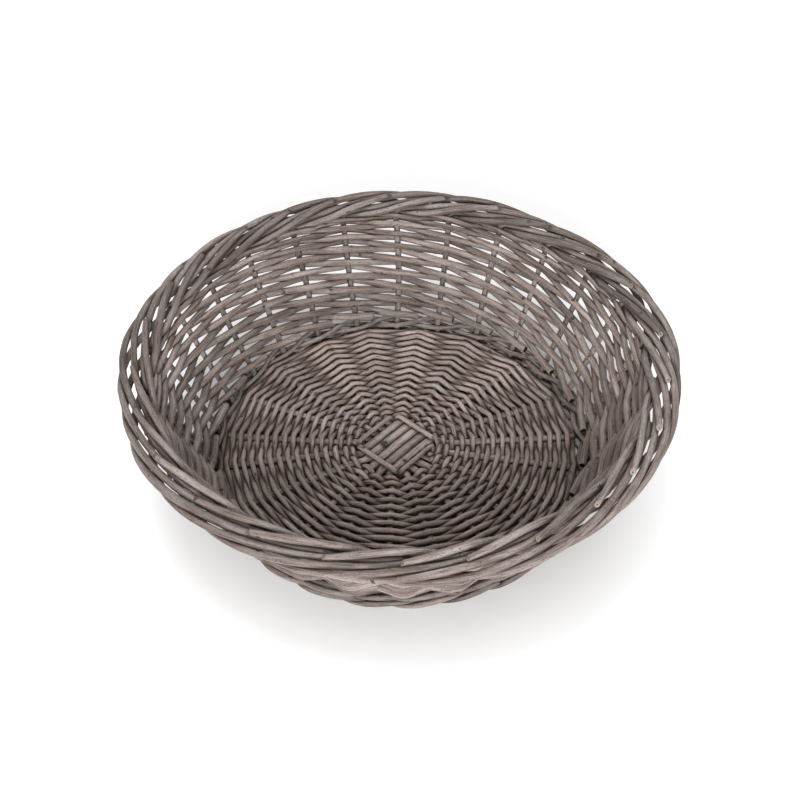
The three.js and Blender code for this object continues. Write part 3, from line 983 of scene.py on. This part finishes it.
def crevice_shade_and_marks(rod, own, vertices, knot_and_hollow_shade):
    """How much painted shade each vertex gets in the crevices and how pale it is in the open, and how much of
    a knot or a stain it has.
    """
    # Painted shade between the rods, carried with the bleached spot in one value
    crevice_shade_and_bleach = crevices(vertices, own, CREVICE_SHADE_REACH[rod["slot"]])
    if rod["slot"] == "stakes":
        below = (vertices[:, 2] < BORDER_BOTTOM - STAKE_RADIUS) & (crevice_shade_and_bleach > 0)
        crevice_shade_and_bleach = crevice_shade_and_bleach * np.where(below, STAKE_CREVICE_SHADE, 1)
    if rod["name"] == STAINED:
        away = np.linalg.norm(vertices - STAIN, axis=1) / STAIN_SIZE
        knot_and_hollow_shade = np.maximum(knot_and_hollow_shade, np.exp(-(away ** 4)))
    if rod["slot"] == "base_weave":
        away = np.linalg.norm(vertices - PALE_SPOT, axis=1) / PALE_SIZE
        crevice_shade_and_bleach = crevice_shade_and_bleach - BLEACHED * (away < 1) * (vertices[:, 2] > PALE_SPOT[2] - PALE_DEPTH)
    return crevice_shade_and_bleach, knot_and_hollow_shade


def store(mesh, name, kind, field, values):
    """Keeps a value for each vertex, for the material to read."""
    layer = mesh.attributes.new(name, kind, "POINT")
    layer.data.foreach_set(field, values.astype(np.float32).ravel())


def make_piece(own, rod):
    """A rod's object, which takes the place of its solid."""
    vertices, faces, grain, cut, knot_and_hollow_shade = tube(rod)
    vertices[:, 2] = np.maximum(vertices[:, 2], FLOOR_GAP)
    crevice_shade_and_bleach, knot_and_hollow_shade = crevice_shade_and_marks(rod, own, vertices, knot_and_hollow_shade)
    mesh = bpy.data.meshes.new(rod["name"])
    mesh.from_pydata((vertices * METRES).tolist(), [], faces)
    sides = SIDES[rod["slot"]]
    smooth = np.ones(len(mesh.polygons), bool)
    smooth[:CUT_RINGS * sides] = False
    smooth[-(CUT_RINGS * sides + 2):] = False
    mesh.polygons.foreach_set("use_smooth", smooth)
    store(mesh, "grain", "FLOAT_VECTOR", "vector", grain + dice.uniform(0, GRAIN_SPREAD, 3))
    tone = np.full(len(vertices), dice.beta(TONE_SPREAD, TONE_SPREAD))
    store(mesh, "look", "FLOAT_VECTOR", "vector", np.column_stack([tone, crevice_shade_and_bleach, knot_and_hollow_shade]))
    store(mesh, "cut", "FLOAT", "value", cut)
    girth = TURN * float(np.mean(rod["radii"]))
    map_columns(mesh, len(vertices) // sides - 1, sides, lengths(rod["points"])[-1], girth)
    mesh.materials.append(finishes[rod["slot"]])
    piece = bpy.data.objects.new(rod["name"], mesh)
    bpy.context.scene.collection.objects.link(piece)
    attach(piece, "root")
    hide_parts(rod["node"])


for own, rod in enumerate(rods):
    make_piece(own, rod)

# Floor and world, in metres. Both are whiter to the camera and in gloss or glass than the light they give.
FLOOR_HALF = 6.0
FLOOR_WHITE = (0.86, 0.86, 0.86)
FLOOR_ROUGHNESS = 0.9
FLOOR_SHEEN = 0.1
# The floor is darker under the basket, where the photograph shows shadow, up to this far from its middle
FLOOR_UNDER = (0.3, 0.29, 0.28)
UNDER_EDGE = (0.12, 0.155)
# The distances from the middle at which each glow starts and is full, and its strength at those two
NEAR_GLOW = (0.15, 0.26, 0.0, 0.34)
FAR_GLOW = (0.7, 1.6, 0.0, 0.6)
# The world's strength as light, and as seen
WORLD_STRENGTH = (0.26, 1.0)


def seen_in(tree):
    """1 for rays from the camera and in mirrors or glass, 0 for light."""
    path = tree.nodes.new("ShaderNodeLightPath").outputs
    mirrored = maths(tree, "MAXIMUM", path["Is Glossy Ray"], path["Is Transmission Ray"])
    return maths(tree, "MAXIMUM", path["Is Camera Ray"], mirrored)


def floor_material():
    """A pale floor that glows away from the basket, without lighting it."""
    material = bpy.data.materials.new("floor_white")
    material.use_nodes = True
    tree = material.node_tree
    shader = tree.nodes["Principled BSDF"]
    length = tree.nodes.new("ShaderNodeVectorMath")
    length.operation = "LENGTH"
    tree.links.new(tree.nodes.new("ShaderNodeTexCoord").outputs["Object"], length.inputs[0])
    away = length.outputs["Value"]
    glow = maths(tree, "ADD", between(tree, away, *NEAR_GLOW), between(tree, away, *FAR_GLOW))
    tree.links.new(maths(tree, "MULTIPLY", seen_in(tree), glow), shader.inputs["Emission Strength"])
    shader.inputs["Emission Color"].default_value = (1, 1, 1, 1)
    colour = mixed(tree, between(tree, away, *UNDER_EDGE), FLOOR_UNDER, FLOOR_WHITE)
    tree.links.new(colour, shader.inputs["Base Color"])
    shader.inputs["Roughness"].default_value = FLOOR_ROUGHNESS
    shader.inputs["Specular IOR Level"].default_value = FLOOR_SHEEN
    return material


def make_floor():
    mesh = bpy.data.meshes.new("studio_floor")
    corners = [(x * FLOOR_HALF, y * FLOOR_HALF, 0) for x, y in ((-1, -1), (1, -1), (1, 1), (-1, 1))]
    mesh.from_pydata(corners, [], [(0, 1, 2, 3)])
    mesh.materials.append(floor_material())
    floor = bpy.data.objects.new("studio_floor", mesh)
    bpy.context.scene.collection.objects.link(floor)


def make_world():
    world = bpy.data.worlds.new("studio")
    bpy.context.scene.world = world
    world.use_nodes = True
    tree = world.node_tree
    background = tree.nodes["Background"]
    background.inputs["Color"].default_value = (1, 1, 1, 1)
    strength = between(tree, seen_in(tree), 0.0, 1.0, *WORLD_STRENGTH)
    tree.links.new(strength, background.inputs["Strength"])


make_floor()
make_world()

# Lamps: name, place, size and power. The camera stands at the photograph's angle.
LAMPS = (
    ("key_light", (-0.05, -2.05, 1.1), 0.8, 56),
    ("top_light", (-0.3, 0.1, 2.4), 1.2, 19),
    ("side_light", (-1.7, -0.5, 1.2), 1.2, 2),
    ("back_light", (0.2, 2.1, 1.1), 1.2, 14),
)
LAMP_TARGET = (0, 0, 0.05)
CAMERA_PLACE = (0, -0.7987, 0.8589)
CAMERA_TARGET = (0, 0, 0.0666)
CAMERA_LENS = 61.05
CAMERA_SENSOR = 36.0


def aim(thing, place, target):
    """Puts a lamp or the camera in its place and points it."""
    bpy.context.scene.collection.objects.link(thing)
    thing.location = place
    thing.rotation_euler = (Vector(target) - Vector(place)).to_track_quat("-Z", "Y").to_euler()


def make_lamp(name, place, size, power):
    data = bpy.data.lights.new(name, "AREA")
    data.shape = "DISK"
    data.size = size
    data.energy = power
    aim(bpy.data.objects.new(name, data), place, LAMP_TARGET)


def make_camera():
    data = bpy.data.cameras.new("camera")
    data.lens = CAMERA_LENS
    data.sensor_width = CAMERA_SENSOR
    camera = bpy.data.objects.new("camera", data)
    aim(camera, CAMERA_PLACE, CAMERA_TARGET)
    bpy.context.scene.camera = camera


for lamp in LAMPS:
    make_lamp(*lamp)
make_camera()
bpy.context.scene.view_settings.view_transform = "Standard"
